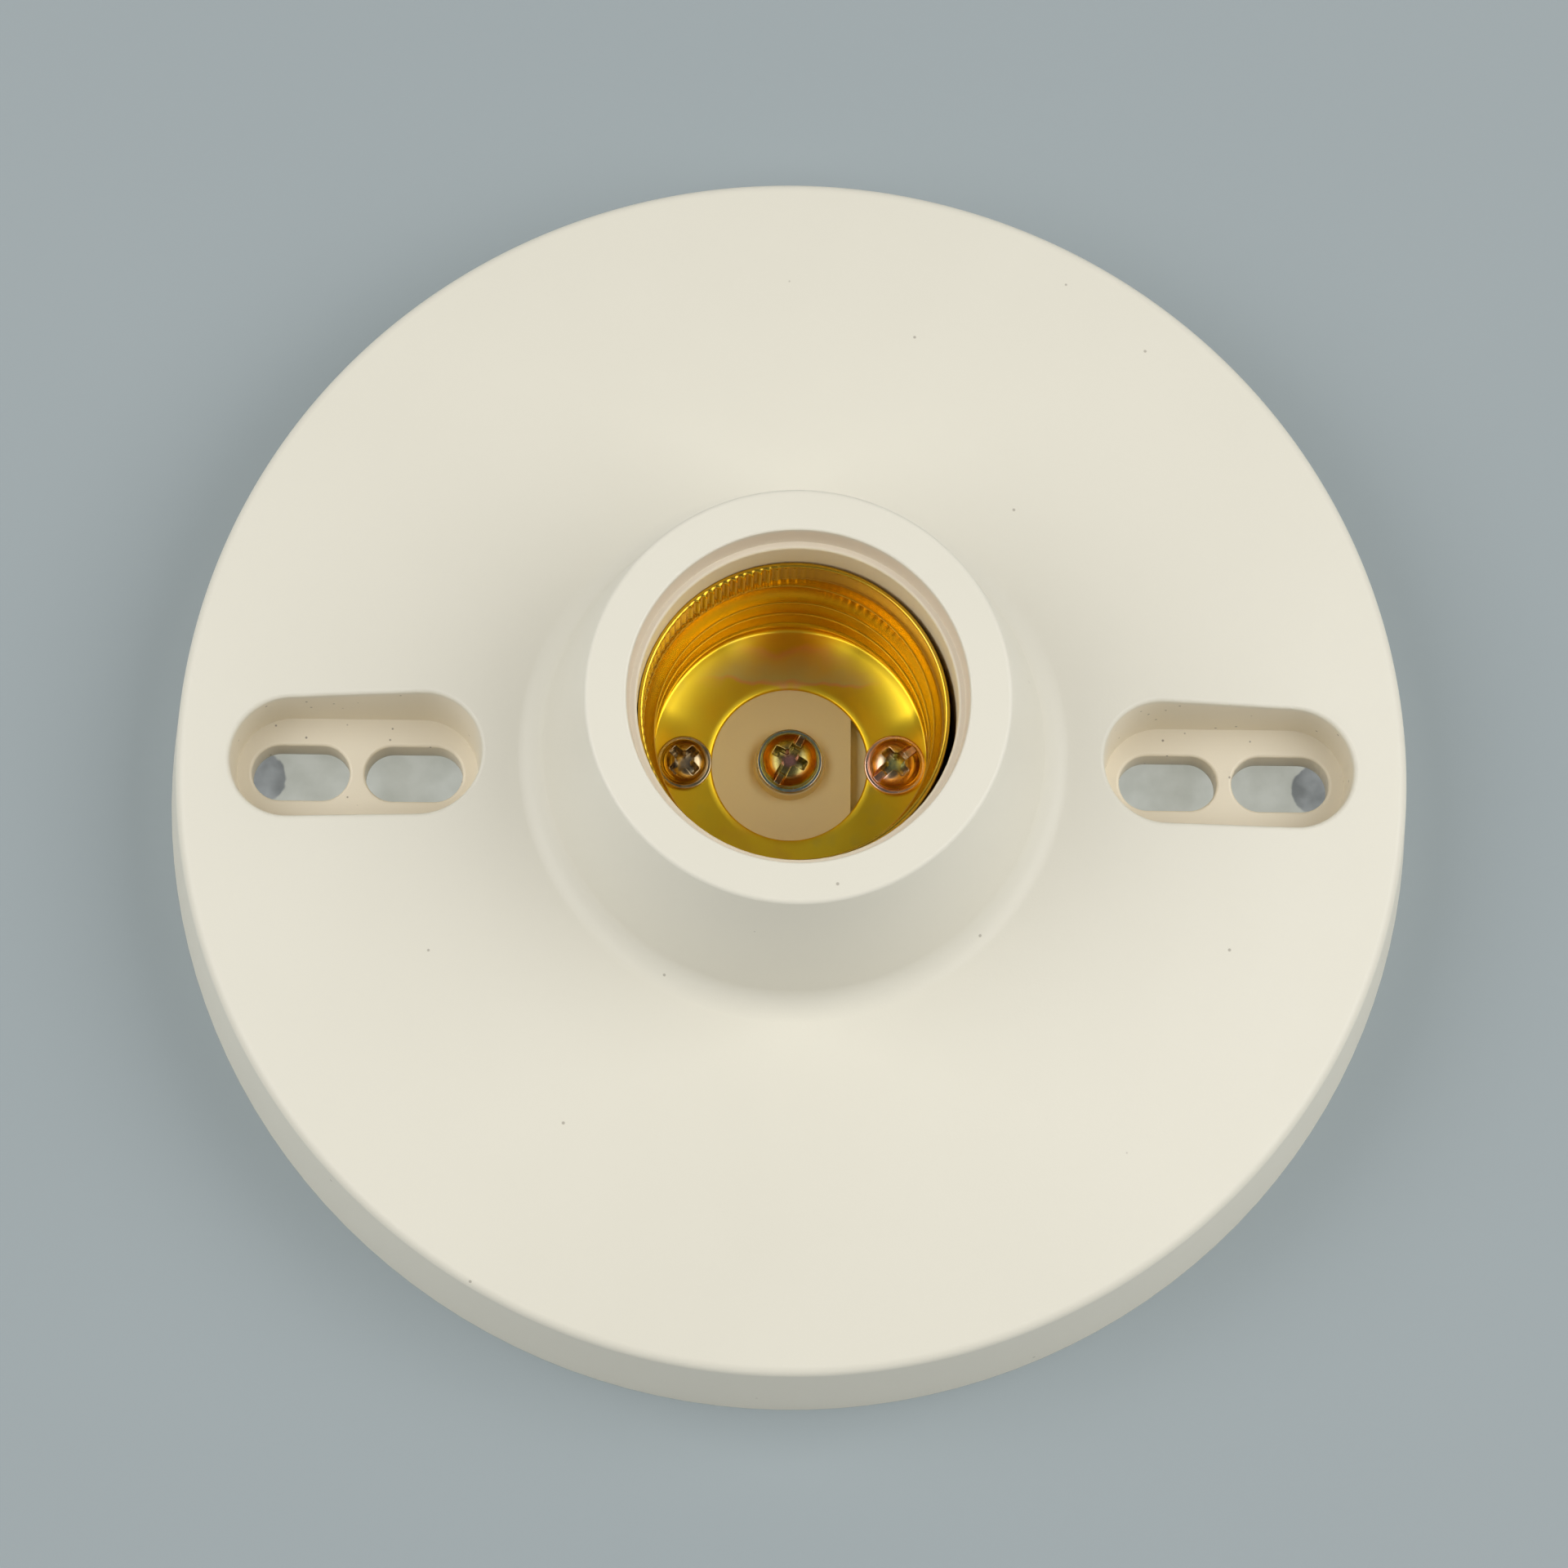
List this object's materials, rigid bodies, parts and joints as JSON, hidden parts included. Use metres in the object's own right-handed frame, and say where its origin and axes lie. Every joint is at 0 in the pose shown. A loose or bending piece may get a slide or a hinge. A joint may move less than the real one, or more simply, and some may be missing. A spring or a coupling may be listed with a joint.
{
  "type": "ceiling lampholder",
  "caption": "Round plastic ceiling lampholder with a low skirted base, slotted recesses for box screws, a tapered neck and a yellow-chromated screw shell for a lamp.",
  "frame": {"origin": "centre of the base's back edge, on the neck's axis", "axes": "+Z out of the back and towards the lamp mouth; X through the box-screw recesses, +X on the side of the shell's terminal screw"},
  "size_m": [0.114, 0.114, 0.0363],
  "materials": {
    "moulding": "cream moulded plastic with a soft gloss",
    "chromated_shell": "thin steel sheet, zinc plated and yellow chromated",
    "chromated_screw": "steel screw, zinc plated and yellow chromated",
    "line_brass": "plain brass",
    "neutral_plated": "nickel-coloured plating"
  },
  "bodies": {
    "holder": {"body": "moulding", "screw_shell": "chromated_shell", "centre_contact_screw": "chromated_screw", "shell_terminal_screw": "chromated_screw", "shell_fixing_screw": "chromated_screw", "line_terminal_strip": "line_brass", "neutral_terminal_strip": "neutral_plated"},
    "line_clamp": {"line_wire_clamp": "line_brass"},
    "line_screw": {"line_wire_screw": "line_brass"},
    "neutral_clamp": {"neutral_wire_clamp": "neutral_plated"},
    "neutral_screw": {"neutral_wire_screw": "neutral_plated"}
  },
  "joints": [
    {"name": "line_clamp_lift", "type": "slide", "parent": "holder", "child": "line_clamp", "axis": [0, 0, -1], "range_m": [0, 0.0024]},
    {"name": "line_screw_turn", "type": "hinge", "parent": "line_clamp", "child": "line_screw", "pos_m": [-0.00025, -0.0098, 0.0064], "axis": [0, 0, -1], "range_deg": [0, 1440]},
    {"name": "neutral_clamp_lift", "type": "slide", "parent": "holder", "child": "neutral_clamp", "axis": [0, 0, -1], "range_m": [0, 0.0024]},
    {"name": "neutral_screw_turn", "type": "hinge", "parent": "neutral_clamp", "child": "neutral_screw", "pos_m": [0.0093, 0.0087, 0.0064], "axis": [0, 0, -1], "range_deg": [0, 1440]}
  ],
  "couplings": [
    {"joint": "line_screw_turn", "follows": "line_clamp_lift", "rad_per_m": 10472},
    {"joint": "neutral_screw_turn", "follows": "neutral_clamp_lift", "rad_per_m": 10472}
  ]
}
